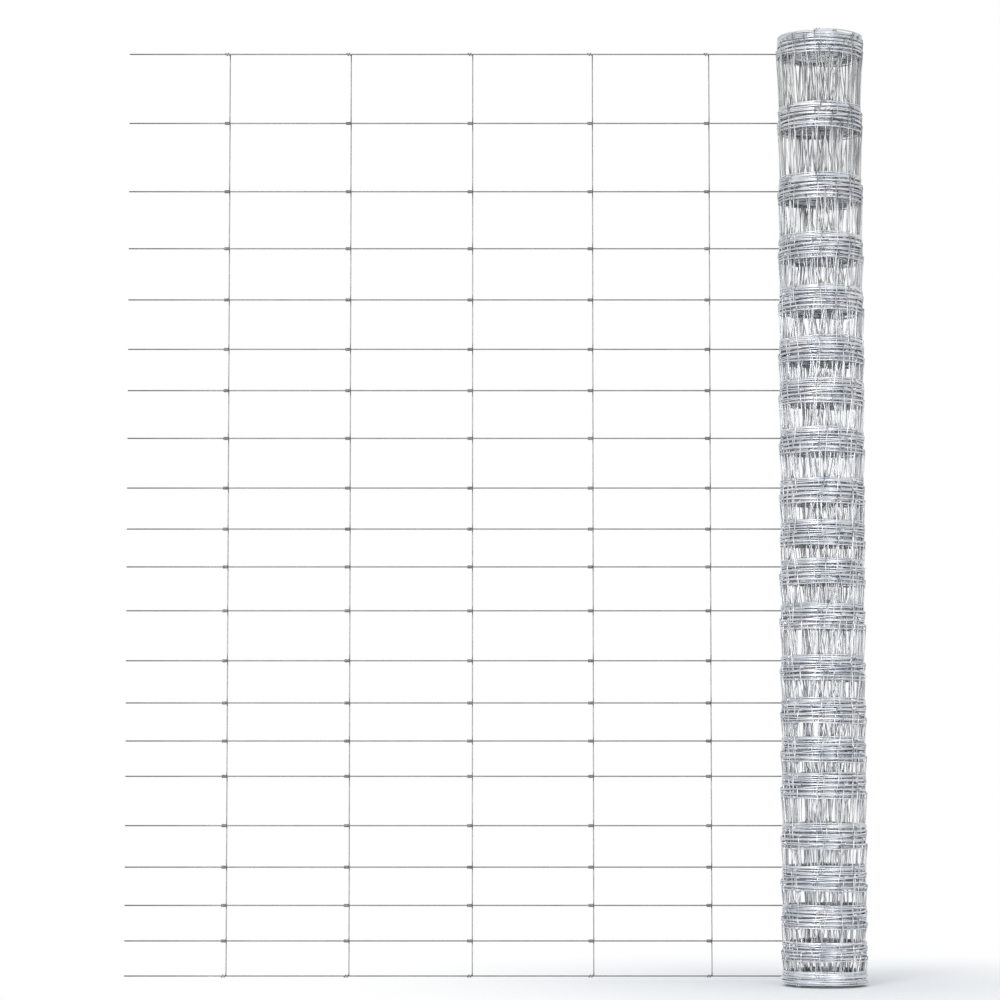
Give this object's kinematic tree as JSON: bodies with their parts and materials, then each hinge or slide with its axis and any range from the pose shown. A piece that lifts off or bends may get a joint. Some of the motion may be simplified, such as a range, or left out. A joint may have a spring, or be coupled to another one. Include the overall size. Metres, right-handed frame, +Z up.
{
  "type": "roll of wire fencing",
  "caption": "Standing roll of galvanised knotted wire fencing with its end unrolled flat: graded line wires, knotted stays and a bore along the roll.",
  "frame": {"origin": "on the roll's axis at the end that it stands on", "axes": "+Z up along the roll's axis, -X the way the flat end of the fence runs out, +Y the side of the roll that the flat end leaves"},
  "size_m": [1.59, 0.1958, 2.033],
  "materials": {
    "galvanised_wire": "Bright zinc-coated steel wire with a light blue-grey cast, semi-gloss where it catches the light and duller in the windings."
  },
  "bodies": {
    "root": {"wound_roll": "galvanised_wire", "unrolled_mesh": "galvanised_wire"}
  },
  "joints": []
}
